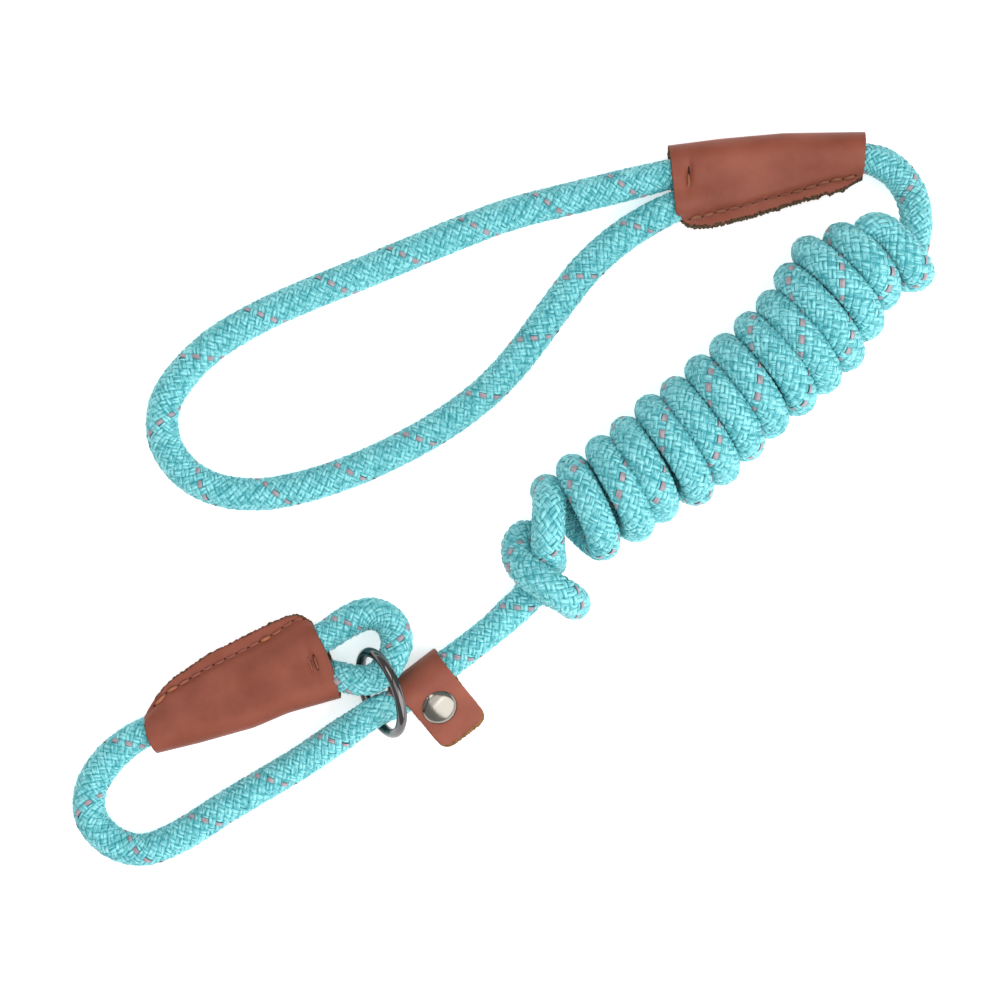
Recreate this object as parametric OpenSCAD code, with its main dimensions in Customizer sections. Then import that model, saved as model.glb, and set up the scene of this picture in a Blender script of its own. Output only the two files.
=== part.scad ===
// Slip lead for dog training: one length of braided rope with a sewn hand loop at one end and a
// sewn eye at the other. A loose steel ring on the eye makes the slip noose, a riveted leather
// stop slides on the rope beside it, and the spare length is wound round itself in a neat coil.
// The lead lies flat on a table: +X is its long direction, +Z is up and the table is z = 0.

/* [Rope] */
// Diameter of the rope where nothing squeezes it
rope_d = 10; // [9.8:0.1:10]
// Diameter of the rope inside the sleeves, the ring and the stop
rope_tight_d = 9; // [8.8:0.1:9]
// Number of flat sides of the plain rope tube
rope_sides = 10; // [8:2:12]

/* [Coil] */
// Number of turns in the coil
coil_turns = 15; // [14:1:15]
// Distance from one turn to the next along the coil
coil_pitch = 9.5; // [9.3:0.1:9.6]
// Radius of the rope's centreline round the coil's axis
coil_r = 11.2; // [10.5:0.1:11.2]

/* [Ring] */
// Inside diameter of the ring
ring_bore = 21.8; // [21.8:0.1:22.4]
// Diameter of the ring's wire
ring_wire = 3; // [2.8:0.1:3]
// Angle of the ring's plane above the table
ring_lean = 64.7; // [64:0.1:66]
// Direction that the ring leans towards, about Z
ring_turn = 18.4; // [17:0.1:20]

/* [Leather sleeves] */
// Thickness of the sleeve leather
sleeve_t = 1.2; // [1:0.1:1.2]
// Number of stations along each sleeve
sleeve_stations = 14; // [10:1:16]
// Diameter of the sewing thread
thread_d = 0.8; // [0.6:0.1:0.9]
// Distance from one stitch to the next
stitch_pitch = 3.9; // [3.6:0.1:4.2]

/* [Stop] */
// Width of the stop's strap along the rope
stop_w = 16.2; // [15:0.1:16.5]
// Thickness of the stop's leather
stop_t = 1.2; // [1:0.1:1.2]
// Gap between the rope and the stop's fold
stop_gap = 0.4; // [0.3:0.05:0.4]
// Angle that the stop's flap slopes down at
flap_slope = 22; // [21:1:23]
// Length of the flap from its root to its end
flap_len = 13.4; // [12:0.1:13.4]
// Diameter of the rivet's domed cap
cap_d = 10.2; // [9.6:0.1:10.4]
// Height of the rivet's domed cap
cap_h = 2.2; // [2:0.1:2.4]
// Diameter of the rivet's post
post_d = 2.6; // [2.4:0.1:3]

/* [Hidden] */
$fn = 48;

rope_colour = [0.45, 0.76, 0.79];
leather_colour = [0.56, 0.32, 0.25];
thread_colour = [0.66, 0.42, 0.27];
metal_colour = [0.36, 0.35, 0.35];

lay_z = rope_d / 2;                      // centre of a rope that lies on the table
sleeve_half_h = rope_tight_d / 2 + 0.4 + sleeve_t;
sleeve_z = sleeve_half_h;                // mid height of both sleeves
lip_half_h = sleeve_t + 0.1;             // half the height of a sleeve's sewn lip

// The rope's route, hand-set points of [x, y, z, diameter]. It is one rope: the first run goes
// from its tail in the handle sleeve round the hand loop, through the sleeve and into the coil.
handle_tail = [
    [82, 94, sleeve_z, 4], [70, 92, sleeve_z, 6], [60, 89.5, sleeve_z, 7.6]];
handle_loop = [
    [51.5, 86.5, sleeve_z, rope_tight_d], [37.5, 79, lay_z, rope_d], [25.5, 69, lay_z, rope_d],
    [15.5, 56.5, lay_z, rope_d], [6, 43.5, lay_z, rope_d], [-4.5, 32, lay_z, rope_d],
    [-17, 22.5, lay_z, rope_d], [-31, 14.5, lay_z, rope_d], [-45.5, 8, lay_z, rope_d],
    [-60.5, 3.3, lay_z, rope_d], [-72.5, 1.5, lay_z, rope_d], [-84.5, 3, lay_z, rope_d],
    [-94, 8.5, lay_z, rope_d], [-99.7, 17.5, lay_z, rope_d], [-99.5, 28, lay_z, rope_d],
    [-94, 37, lay_z, rope_d], [-84.5, 46, lay_z, rope_d], [-71, 54, lay_z, rope_d],
    [-56.5, 60.5, lay_z, rope_d], [-41.5, 66.5, lay_z, rope_d], [-27, 72.5, lay_z, rope_d],
    [-12.5, 78.5, lay_z, rope_d], [2.5, 84, lay_z, rope_d], [18, 88, lay_z, rope_d],
    [34, 92, lay_z, rope_d], [49, 95.5, sleeve_z, rope_tight_d]];
handle_through = [
    [62, 98.3, sleeve_z, rope_tight_d], [77, 100.3, sleeve_z, rope_tight_d],
    [92, 101, sleeve_z, rope_tight_d]];
lead_in = [
    [106.5, 100.2, sleeve_z, rope_tight_d], [112, 98.5, 6.5, rope_d], [116.3, 95.2, 7, rope_d],
    [119.7, 90.3, 8, rope_d], [121.1, 85, 10, rope_d], [121.2, 79.8, 12, rope_d],
    [120, 75.5, 13, rope_d]];

// The second run goes from the coil through the stop and the ring, round the noose, through the
// noose sleeve, round the eye that holds the ring and back into the sleeve.
lead_out = [
    [13.5, -22.5, 5, rope_d], [7.5, -28.3, 5.2, rope_d], [2, -33.5, 5.7, rope_d],
    [-3, -38, 6.2, rope_tight_d], [-17, -48.8, 6.2, rope_tight_d],
    [-30.2, -58.95, 6.2, rope_tight_d], [-32.6, -60.2, 7.8, rope_tight_d]];
noose = [
    [-35.2, -61, 9.7, rope_tight_d], [-38, -62.4, 10.4, rope_tight_d],
    [-41.5, -64.8, 9.4, rope_tight_d], [-46, -68, 7.4, rope_d], [-52, -72.2, 5.6, rope_d],
    [-59, -77, lay_z, rope_d], [-66.5, -81.5, lay_z, rope_d], [-81.5, -90.5, lay_z, rope_d],
    [-97, -100, lay_z, rope_d], [-106.5, -103.1, lay_z, rope_d],
    [-115.5, -100.3, lay_z, rope_d], [-121.3, -93.3, lay_z, rope_d],
    [-121.3, -85.3, lay_z, rope_d], [-116, -76.5, lay_z, rope_d],
    [-105.5, -68.5, sleeve_z, rope_tight_d]];
noose_through = [
    [-90, -64.3, sleeve_z, rope_tight_d], [-75, -60, sleeve_z, rope_tight_d],
    [-62, -55.7, sleeve_z, rope_tight_d]];
eye = [
    [-49.5, -51.6, 6.4, rope_tight_d], [-46.7, -52.2, 8.6, rope_tight_d],
    [-43.5, -52.7, 10.6, rope_tight_d], [-39, -52.7, 11.5, rope_tight_d],
    [-35.3, -50.6, 11.3, rope_tight_d], [-32.8, -46.8, 10.3, rope_tight_d],
    [-32, -41.5, 9, rope_d], [-34.4, -36.6, 8, rope_d], [-39, -34.4, 7.3, rope_d],
    [-44.5, -36, 6.6, rope_d], [-53.5, -41, sleeve_z, rope_tight_d]];
noose_tail = [
    [-62, -45.3, sleeve_z, rope_tight_d], [-72, -50.3, sleeve_z, 7.4],
    [-82, -55.5, sleeve_z, 4]];

// The two runs, and the place in each run where every stretch starts
hand_run = concat(handle_tail, handle_loop, handle_through, lead_in);
loop_start = len(handle_tail);
loop_end = loop_start + len(handle_loop) - 1;
lead_in_start = loop_end + len(handle_through) + 1;
noose_run = concat(lead_out, noose, noose_through, eye, noose_tail);
noose_start = len(lead_out);
noose_end = noose_start + len(noose) - 1;
eye_start = noose_end + len(noose_through) + 1;
eye_end = eye_start + len(eye) - 1;

// The coil's solid lies along its axis, from the lock turn at its lower end to the lead-in
coil_from = [5.5, -22.6];
coil_heading = 41.3;
coil_len = coil_turns * coil_pitch + rope_d;
coil_solid_r = coil_r + rope_d / 2;

// The ring stands on the table and leans on the two strands that pass through it
ring_r = (ring_bore + ring_wire) / 2;
ring_at = [-35.6, -56.3, ring_r * sin(ring_lean) + ring_wire / 2];

// Edges of the sleeves, as hand-set [x, y] corners: the raw, sewn edge and the folded edge
handle_raw = [[50.5, 83], [54, 79.8], [60, 79.5], [70.5, 82], [87.5, 87], [100, 90.5], [105.5, 94]];
handle_fold = [[48.5, 104], [64, 106], [82, 107.6], [106.5, 108]];
handle_lip_w = [4.6, 2.6];               // width of the sewn lip at the two ends
noose_raw = [[-105, -63], [-103, -59.5], [-98.5, -53.5], [-87, -45.5], [-73, -38.5],
    [-64.5, -34.5], [-61, -33.5], [-58.5, -34.3], [-56.3, -36]];
noose_fold = [[-101.3, -74.5], [-89, -71.5], [-73, -67], [-63, -62.7], [-47.8, -58.4]];
noose_lip_w = [2.6, 4.2];

// Where the stop sits: the lower end of its fold on the rope, and the rope's heading there
stop_at = [-29.4, -58.3, 6.2];
stop_heading = 37.6;
stop_bore_r = rope_tight_d / 2 + stop_gap;
stop_fold_r = stop_bore_r + stop_t;
flap_root = [6, 2.1];                    // start of the flap's mid line, from the rope's centre
rivet_along = 2.2;                       // place of the rivet along the flap
rivet_aside = 1.1;                       // distance of the rivet from the flap's middle, towards the ring
end_clip = 4.5;                          // size of the corners cut off the flap's end
tail_r = 2.4;                            // radius of the rivet's spread tail
tail_t = 0.6;                            // thickness of the rivet's spread tail

// ---- rope ----

function unit(v) = v / norm(v);
function heading(run, i) = unit([for (k = [0:2])
    run[min(i + 1, len(run) - 1)][k] - run[max(i - 1, 0)][k]]);

// One cross-section of the rope at point i of a run, with a corner straight down
function rope_section(run, i) =
    let (ahead = heading(run, i), side = unit(cross([0, 0, 1], ahead)), up = cross(ahead, side))
    [for (k = [0:rope_sides - 1]) let (a = 360 * k / rope_sides - 90)
        [for (c = [0:2]) run[i][c] + run[i][3] / 2 * (cos(a) * side[c] + sin(a) * up[c])]];

// Joins sections of equal length into one closed solid
module loft(sections) {
    rows = len(sections);
    per_row = len(sections[0]);
    sides = [for (r = [0:rows - 2], k = [0:per_row - 1], half = [0, 1])
        let (here = r * per_row + k, next = r * per_row + (k + 1) % per_row)
        half == 0 ? [here, next + per_row, next] : [here, here + per_row, next + per_row]];
    polyhedron(
        points = [for (s = sections, p = s) p],
        faces = concat(sides,
            [[for (k = [0:per_row - 1]) k]],
            [[for (k = [per_row - 1:-1:0]) (rows - 1) * per_row + k]]));
}

module rope(run, first, last) {
    color(rope_colour) loft([for (i = [first:last]) rope_section(run, i)]);
}

module rope_handle_tail() { rope(hand_run, 0, loop_start); }
module rope_handle_loop() { rope(hand_run, loop_start, loop_end); }
module rope_handle_through() { rope(hand_run, loop_end, lead_in_start); }
module rope_lead_in() { rope(hand_run, lead_in_start, len(hand_run) - 1); }
module rope_lead_out() { rope(noose_run, 0, noose_start); }
module rope_noose() { rope(noose_run, noose_start, noose_end); }
module rope_noose_through() { rope(noose_run, noose_end, eye_start); }
module rope_eye() { rope(noose_run, eye_start, eye_end); }
module rope_noose_tail() { rope(noose_run, eye_end, len(noose_run) - 1); }

// The outer shape of the wound turns, a little slimmer at both ends
module rope_coil() {
    end_r = coil_solid_r - 3.5;
    taper = 18;
    round_r = 7;
    color(rope_colour)
    translate([coil_from.x, coil_from.y, coil_solid_r])
    rotate([0, 90, coil_heading])
    rotate_extrude()
    polygon(concat(
        [[0, 0]],
        [for (a = [0:15:90]) [end_r - round_r + round_r * sin(a), round_r - round_r * cos(a)]],
        [[coil_solid_r, taper + round_r], [coil_solid_r, coil_len - taper - round_r]],
        [for (a = [90:-15:0])
            [end_r - round_r + round_r * sin(a), coil_len - round_r + round_r * cos(a)]],
        [[0, coil_len]]));
}

// ---- leather sleeves ----

// Station t, 0 to 1, of an edge: x runs evenly and y follows the edge's corners
function edge_point(edge, t) =
    let (x = edge[0].x + t * (edge[len(edge) - 1].x - edge[0].x)) [x, lookup(x, edge)];

// Half height of the leather's outside, a distance v in from the raw edge, on a sleeve w wide
function leather_half_h(v, w, lip_w) =
    let (ramp = min(5, (w - lip_w) * 0.4), rise = min(max((v - lip_w) / ramp, 0), 1),
        crown = w - sleeve_half_h)
    v > crown ? sleeve_half_h * sqrt(max(1 - pow((v - crown) / sleeve_half_h, 2), 0))
        : lip_half_h + (sleeve_half_h - lip_half_h) * (1 - cos(180 * rise)) / 2;

// Distances in from the raw edge at which a sleeve's section has points
function section_steps(from, w, lip_w) =
    let (crown = w - sleeve_half_h, ramp = min(5, (w - lip_w) * 0.4))
    concat([from], [for (k = [1:3]) lip_w + ramp * k / 3],
        [for (a = [0:15:75]) crown + (w - crown - from) * sin(a)]);

// Closed section at station t: out along the top face, round the fold and back underneath
function sleeve_section(raw, fold, lip_ws, t, inset) =
    let (a = edge_point(raw, t), b = edge_point(fold, t), w = norm(b - a), across = (b - a) / w,
        lip_w = lip_ws[0] + t * (lip_ws[1] - lip_ws[0]),
        from = inset > 0 ? lip_w + 0.6 : 0,
        steps = [for (v = section_steps(from, w, lip_w)) min(max(v, from), w - inset)],
        top = [for (v = steps)
            [v, v == from && inset > 0 ? 0.15 : max(leather_half_h(v, w, lip_w) - inset, 0.15)]],
        tip = [[w - inset, 0]])
    [for (p = concat(top, tip, [for (k = [len(top) - 1:-1:0]) [top[k][0], -top[k][1]]]))
        [a.x + across.x * p[0], a.y + across.y * p[0], sleeve_z + p[1]]];

// A folded leather wrap: an outer skin and an inner skin joined at both open mouths
module sleeve(raw, fold, lip_ws) {
    stations = [for (k = [0:sleeve_stations]) 0.5 - 0.5 * cos(180 * k / sleeve_stations)];
    outer = [for (t = stations) sleeve_section(raw, fold, lip_ws, t, 0)];
    inner = [for (t = stations) sleeve_section(raw, fold, lip_ws, t, sleeve_t)];
    per_row = len(outer[0]);
    rows = len(stations);
    base = rows * per_row;
    function skin(shift, flip) = [for (r = [0:rows - 2], k = [0:per_row - 1], half = [0, 1])
        let (here = shift + r * per_row + k, next = shift + r * per_row + (k + 1) % per_row,
            tri = half == 0 ? [here, next, next + per_row] : [here, next + per_row, here + per_row])
        flip ? [tri[2], tri[1], tri[0]] : tri];
    function mouth(row, flip) = [for (k = [0:per_row - 1], half = [0, 1])
        let (here = row * per_row + k, next = row * per_row + (k + 1) % per_row,
            tri = half == 0 ? [here, next, next + base] : [here, next + base, here + base])
        flip ? [tri[2], tri[1], tri[0]] : tri];
    color(leather_colour)
    polyhedron(
        points = concat([for (s = outer, p = s) p], [for (s = inner, p = s) p]),
        faces = concat(skin(0, false), skin(base, true), mouth(0, true), mouth(rows - 1, false)));
}

module handle_sleeve() { sleeve(handle_raw, handle_fold, handle_lip_w); }
module noose_sleeve() { sleeve(noose_raw, noose_fold, noose_lip_w); }

// ---- sewing thread ----

// A straight piece of thread from a to b
module thread(a, b) {
    run = b - a;
    translate(a)
    rotate([0, acos(run.z / norm(run)), atan2(run.y, run.x)])
    cylinder(d = thread_d, h = norm(run), $fn = 8);
}

// One lockstitch: a float on the top face, a float below and the leg that joins them
module stitch(a, b) {
    high = sleeve_z + lip_half_h + thread_d * 0.2;
    low = sleeve_z - lip_half_h - thread_d * 0.2;
    thread([a.x, a.y, high], [b.x, b.y, high]);
    thread([a.x, a.y, low], [b.x, b.y, low]);
    thread([a.x, a.y, low], [a.x, a.y, high]);
}

function seam_point(raw, fold, lip_ws, t) =
    let (a = edge_point(raw, t), b = edge_point(fold, t),
        lip_w = lip_ws[0] + t * (lip_ws[1] - lip_ws[0]))
    a + (b - a) / norm(b - a) * (lip_w - thread_d / 2);

module seam(raw, fold, lip_ws) {
    seam_from = 0.07;
    seam_to = 0.95;
    seam_len = norm(seam_point(raw, fold, lip_ws, seam_to) - seam_point(raw, fold, lip_ws, seam_from));
    count = floor(seam_len / stitch_pitch);
    step = (seam_to - seam_from) / count;
    color(thread_colour)
    for (k = [0:count - 1])
        stitch(seam_point(raw, fold, lip_ws, seam_from + step * k),
            seam_point(raw, fold, lip_ws, seam_from + step * (k + 0.82)));
}

module handle_seam_thread() { seam(handle_raw, handle_fold, handle_lip_w); }
module noose_seam_thread() { seam(noose_raw, noose_fold, noose_lip_w); }

// A bar tack sewn through the sleeve and both strands, so that the tail can't pull out
module bar_tack(a, b) {
    high = sleeve_z + sleeve_half_h - thread_d * 0.3;
    low = sleeve_z - sleeve_half_h + thread_d * 0.6;
    color(thread_colour) {
        thread([a.x, a.y, high], [b.x, b.y, high]);
        thread([a.x, a.y, low], [b.x, b.y, low]);
        thread([a.x, a.y, low], [a.x, a.y, high]);
        thread([b.x, b.y, low], [b.x, b.y, high]);
    }
}

module handle_bar_tack() { bar_tack([54.2, 98], [54.2, 91.5]); }
module noose_bar_tack() {
    bar_tack([-57.2, -45.6], [-55.2, -51.4]);
    bar_tack([-55.2, -45], [-53.2, -50.8]);
}

// ---- slip ring ----

module slip_ring() {
    color(metal_colour)
    translate(ring_at)
    rotate([0, -ring_lean, ring_turn])
    rotate_extrude()
    translate([ring_r, 0])
    circle(d = ring_wire);
}

// ---- sliding stop ----

// Puts a shape drawn along the rope (x) and out to the flap's side (-y) in its place
module on_stop() {
    translate(stop_at) rotate([0, 0, stop_heading]) children();
}

// Puts a shape drawn round Z on the rivet's axis, with z = 0 at the middle of the flap
module on_rivet() {
    on_stop()
    translate([stop_w / 2 - rivet_aside, -flap_root.x, flap_root.y])
    rotate([flap_slope, 0, 0])
    translate([0, -rivet_along, 0])
    children();
}

// A leather strap folded round the rope, its two ends riveted flat together
module stop_strap() {
    flap_end = flap_root + flap_len * [cos(flap_slope), -sin(flap_slope)];
    color(leather_colour)
    difference() {
        on_stop()
        intersection() {
            rotate([90, 0, 90])
            linear_extrude(stop_w)
            mirror([1, 0])
            difference() {
                union() {
                    hull() {
                        circle(r = stop_fold_r);
                        translate(flap_root) circle(r = stop_t);
                    }
                    hull() {
                        translate(flap_root) circle(r = stop_t);
                        translate(flap_end) circle(r = stop_t);
                    }
                }
                hull() {
                    circle(r = stop_bore_r);
                    translate(flap_root - [0.8, 0]) circle(r = 0.1);
                }
            }
            translate([0, 0, -20])
            linear_extrude(40)
            polygon([[0, 20], [0, end_clip - flap_end.x - stop_t],
                [end_clip, -flap_end.x - stop_t], [stop_w - end_clip, -flap_end.x - stop_t],
                [stop_w, end_clip - flap_end.x - stop_t], [stop_w, 20]]);
        }
        on_rivet() cylinder(d = post_d, h = 4 * stop_t, center = true);
    }
}

// The domed cap and the socket that the post is pressed into
module rivet_cap() {
    dome_r = (cap_d * cap_d / 4 + cap_h * cap_h) / (2 * cap_h);
    color(metal_colour)
    on_rivet()
    translate([0, 0, stop_t])
    intersection() {
        translate([0, 0, cap_h - dome_r]) sphere(r = dome_r);
        cylinder(d = cap_d, h = cap_h + 1);
    }
}

// The post through both layers, spread into a flat tail underneath
module rivet_post() {
    color(metal_colour)
    on_rivet() {
        translate([0, 0, -stop_t - tail_t]) cylinder(r = tail_r, h = tail_t);
        translate([0, 0, -stop_t]) cylinder(d = post_d, h = 2 * stop_t);
    }
}

rope_handle_loop();
rope_handle_through();
rope_handle_tail();
rope_lead_in();
rope_coil();
rope_lead_out();
rope_noose();
rope_noose_through();
rope_eye();
rope_noose_tail();
handle_sleeve();
handle_seam_thread();
handle_bar_tack();
noose_sleeve();
noose_seam_thread();
noose_bar_tack();
slip_ring();
stop_strap();
rivet_cap();
rivet_post();
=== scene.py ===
"""Looks of the braided-rope slip lead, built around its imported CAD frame. Lengths are in metres."""
import math

import bpy
import numpy as np
from mathutils import Matrix, Vector


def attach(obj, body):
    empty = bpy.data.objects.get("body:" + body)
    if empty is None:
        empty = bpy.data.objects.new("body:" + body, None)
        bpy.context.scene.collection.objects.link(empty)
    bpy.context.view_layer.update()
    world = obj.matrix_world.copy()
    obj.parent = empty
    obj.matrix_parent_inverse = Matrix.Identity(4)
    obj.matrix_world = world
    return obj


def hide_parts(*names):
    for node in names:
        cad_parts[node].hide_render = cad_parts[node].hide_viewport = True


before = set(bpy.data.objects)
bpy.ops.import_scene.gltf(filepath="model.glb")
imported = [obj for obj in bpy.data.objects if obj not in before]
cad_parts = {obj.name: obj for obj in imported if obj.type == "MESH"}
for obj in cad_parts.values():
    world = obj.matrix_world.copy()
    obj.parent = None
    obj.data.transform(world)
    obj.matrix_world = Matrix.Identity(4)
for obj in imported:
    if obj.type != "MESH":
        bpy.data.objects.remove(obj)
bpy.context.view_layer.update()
scene = bpy.context.scene
rng = np.random.default_rng(7)


# ---- camera: straight above the lead ----

cam = bpy.data.objects.new("camera", bpy.data.cameras.new("camera"))
scene.collection.objects.link(cam)
cam.data.lens = 100
cam.data.sensor_width = 36
cam.location = (-.0009, -.00015, .822)
scene.camera = cam
scene.view_settings.view_transform = "Standard"


# ---- materials ----

def srgb(r, g, b):
    """A colour given as 0-255 display values, as the linear RGBA that shaders take."""
    return (*((c / 255 / 12.92) if c <= 10 else ((c / 255 + .055) / 1.055) ** 2.4
              for c in (r, g, b)), 1.0)


class Material:
    """A principled material with short ways to add nodes and links."""

    def __init__(self, name, **values):
        self.mat = bpy.data.materials.new(name)
        self.mat.use_nodes = True
        self.tree = self.mat.node_tree
        self.bsdf = self.tree.nodes["Principled BSDF"]
        for key, value in values.items():
            self.bsdf.inputs[key.replace("_", " ")].default_value = value

    def node(self, kind, links=None, **values):
        """A new node. Each value names a setting of it, or an input with _ for a space."""
        n = self.tree.nodes.new(kind)
        for key, value in values.items():
            if hasattr(n, key):
                setattr(n, key, value)
            else:
                n.inputs[key.replace("_", " ")].default_value = value
        for key, source in (links or {}).items():
            self.tree.links.new(source, n.inputs[key])
        return n

    def link(self, source, socket):
        self.tree.links.new(source, self.bsdf.inputs[socket])

    def coords(self, scale=(1, 1, 1), uv=None):
        """Coordinates for a texture: the piece's own, or those of the UV layer named."""
        if uv:
            source = self.node("ShaderNodeUVMap", uv_map=uv).outputs["UV"]
        else:
            source = self.node("ShaderNodeTexCoord").outputs["Object"]
        return self.node("ShaderNodeMapping", {"Vector": source}, Scale=scale).outputs["Vector"]

    def noise(self, vector, scale, detail=2.0, rough=.5):
        n = self.node("ShaderNodeTexNoise", {"Vector": vector},
                      Scale=scale, Detail=detail, Roughness=rough)
        return n.outputs["Fac"]

    def ramp(self, fac, *stops):
        """Colours along fac, as stops of (place from 0 to 1, colour)."""
        n = self.node("ShaderNodeValToRGB", {"Fac": fac})
        while len(n.color_ramp.elements) < len(stops):
            n.color_ramp.elements.new(.5)
        for element, (place, colour) in zip(n.color_ramp.elements, stops):
            element.position = place
            element.color = colour
        return n.outputs["Color"]

    def map_range(self, value, **ends):
        return self.node("ShaderNodeMapRange", {"Value": value}, **ends).outputs["Result"]

    def bump(self, height, distance, strength, normal=None):
        n = self.node("ShaderNodeBump", {"Height": height}, Distance=distance, Strength=strength)
        if normal is not None:
            self.tree.links.new(normal, n.inputs["Normal"])
        return n.outputs["Normal"]


def yarn_material(name, low, high, rough, sheen, aniso):
    """A flat yarn of parallel filaments: 'yarn' UVs run along it (u) and across it (v)."""
    m = Material(name, Roughness=rough, Sheen_Weight=sheen, Sheen_Roughness=.35,
                 Anisotropic=aniso, Anisotropic_Rotation=.25, Specular_IOR_Level=.6)
    patch = m.noise(m.coords((.9, 1.5, 1), uv="yarn"), 1.0, 1)
    m.link(m.ramp(patch, (.38, low), (.6, high)), "Base Color")
    filament = m.noise(m.coords((.6, 9, 1), uv="yarn"), 2.2, 2, .6)
    m.link(m.bump(filament, .00012, .6), "Normal")
    tangent = m.node("ShaderNodeTangent", direction_type="UV_MAP", uv_map="yarn")
    m.link(tangent.outputs["Tangent"], "Tangent")
    return m.mat


def core_material():
    """The shade seen between the yarns."""
    m = Material("rope_shadow_shade_core", Roughness=.9)
    tone = m.noise(m.coords(), 300)
    m.link(m.ramp(tone, (.35, srgb(28, 116, 128)), (.65, srgb(46, 140, 151))), "Base Color")
    return m.mat


TEAL = yarn_material("teal_yarn", srgb(66, 168, 177), srgb(142, 224, 229),
                     rough=.38, sheen=.12, aniso=.8)
TRACER = yarn_material("tracer_yarn", srgb(148, 134, 142), srgb(172, 158, 166),
                       rough=.6, sheen=.1, aniso=.2)
# The dark core tube's darker teal is painted shade seen between the yarns.
SHADE_CORE = core_material()


# ---- mesh helpers ----

def new_object(name, verts, faces, material, uvs=None):
    """Smooth object from an (n, 3) array and an (m, 4) array of quads, or a list of faces."""
    mesh = bpy.data.meshes.new(name)
    verts = np.asarray(verts, np.float32)
    if isinstance(faces, np.ndarray):
        mesh.vertices.add(len(verts))
        mesh.vertices.foreach_set("co", verts.ravel())
        mesh.loops.add(faces.size)
        mesh.loops.foreach_set("vertex_index", faces.ravel().astype(np.int32))
        mesh.polygons.add(len(faces))
        mesh.polygons.foreach_set("loop_start", np.arange(0, faces.size, 4, dtype=np.int32))
        mesh.update(calc_edges=True)
    else:
        mesh.from_pydata(verts.tolist(), [], faces)
    if uvs is not None:
        layer = mesh.uv_layers.new(name="yarn")
        index = np.empty(len(mesh.loops), np.int32)
        mesh.loops.foreach_get("vertex_index", index)
        layer.data.foreach_set("uv", np.asarray(uvs, np.float32)[index].ravel())
    mesh.polygons.foreach_set("use_smooth", np.full(len(mesh.polygons), True))
    mesh.validate()
    mesh.update()
    mesh.materials.append(material)
    obj = bpy.data.objects.new(name, mesh)
    scene.collection.objects.link(obj)
    return obj


def unit(v):
    return v / np.maximum(np.linalg.norm(v, axis=-1, keepdims=True), 1e-12)


def run_of(points):
    """How far along a line of points each of them is."""
    return np.concatenate([[0], np.cumsum(np.linalg.norm(np.diff(points, axis=0), axis=1))])


def relax(values, passes):
    """Move each inner value half-way to the middle of its neighbours, in place."""
    for _ in range(passes):
        values[1:-1] += .5 * ((values[:-2] + values[2:]) / 2 - values[1:-1])


def pairs(first, second):
    """Every pair of a value from each, as two flat arrays in the order of the first."""
    return (g.ravel() for g in np.meshgrid(first, second, indexing="ij"))


def tube_faces(rings, sides, start=0):
    """Faces over rings of points numbered from start, with a flat face at each end."""
    faces = []
    for ring in range(rings - 1):
        a = start + ring * sides
        b = a + sides
        faces += [(a + k, a + (k + 1) % sides, b + (k + 1) % sides, b + k) for k in range(sides)]
    last = start + (rings - 1) * sides
    return faces + [tuple(range(start, start + sides))[::-1], tuple(range(last, last + sides))]


# ---- the rope's route: the points of part.scad, as (x, y, z, diameter) ----

HANDLE_TAIL = [
    (.082, .094, .0061, .004), (.07, .092, .0061, .006), (.06, .0895, .0061, .0076)]
HANDLE_LOOP = [
    (.0515, .0865, .0061, .009), (.0375, .079, .005, .01), (.0255, .069, .005, .01),
    (.0155, .0565, .005, .01), (.006, .0435, .005, .01), (-.0045, .032, .005, .01),
    (-.017, .0225, .005, .01), (-.031, .0145, .005, .01), (-.0455, .008, .005, .01),
    (-.0605, .0033, .005, .01), (-.0725, .0015, .005, .01), (-.0845, .003, .005, .01),
    (-.094, .0085, .005, .01), (-.0997, .0175, .005, .01), (-.0995, .028, .005, .01),
    (-.094, .037, .005, .01), (-.0845, .046, .005, .01), (-.071, .054, .005, .01),
    (-.0565, .0605, .005, .01), (-.0415, .0665, .005, .01), (-.027, .0725, .005, .01),
    (-.0125, .0785, .005, .01), (.0025, .084, .005, .01), (.018, .088, .005, .01),
    (.034, .092, .005, .01), (.049, .0955, .0061, .009)]
HANDLE_THROUGH = [
    (.062, .0983, .0061, .009), (.077, .1003, .0061, .009), (.092, .101, .0061, .009)]
LEAD_IN = [
    (.1065, .1002, .0061, .009), (.1118, .0985, .0065, .01), (.1159, .0952, .007, .01),
    (.1191, .0903, .008, .01), (.1204, .085, .01, .01), (.1205, .0798, .012, .01),
    (.1196, .0754, .013, .01)]
LEAD_OUT = [
    (.0075, -.0283, .0052, .01), (.002, -.0335, .0057, .01),
    (-.003, -.038, .0062, .009), (-.017, -.0488, .0062, .009), (-.0302, -.05895, .0062, .009),
    (-.0326, -.0602, .0078, .009)]
NOOSE = [
    (-.0352, -.061, .0097, .009), (-.038, -.0624, .0104, .009), (-.0415, -.0648, .0094, .009),
    (-.046, -.068, .0074, .01), (-.052, -.0722, .0056, .01), (-.059, -.077, .005, .01),
    (-.0665, -.0815, .005, .01), (-.0815, -.0905, .005, .01), (-.097, -.1, .005, .01),
    (-.1065, -.1031, .005, .01), (-.1155, -.1003, .005, .01), (-.1213, -.0933, .005, .01),
    (-.1213, -.0853, .005, .01), (-.116, -.0765, .005, .01), (-.1055, -.0685, .0061, .009)]
NOOSE_THROUGH = [
    (-.09, -.0643, .0061, .009), (-.075, -.06, .0061, .009), (-.062, -.0557, .0061, .009)]
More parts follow.
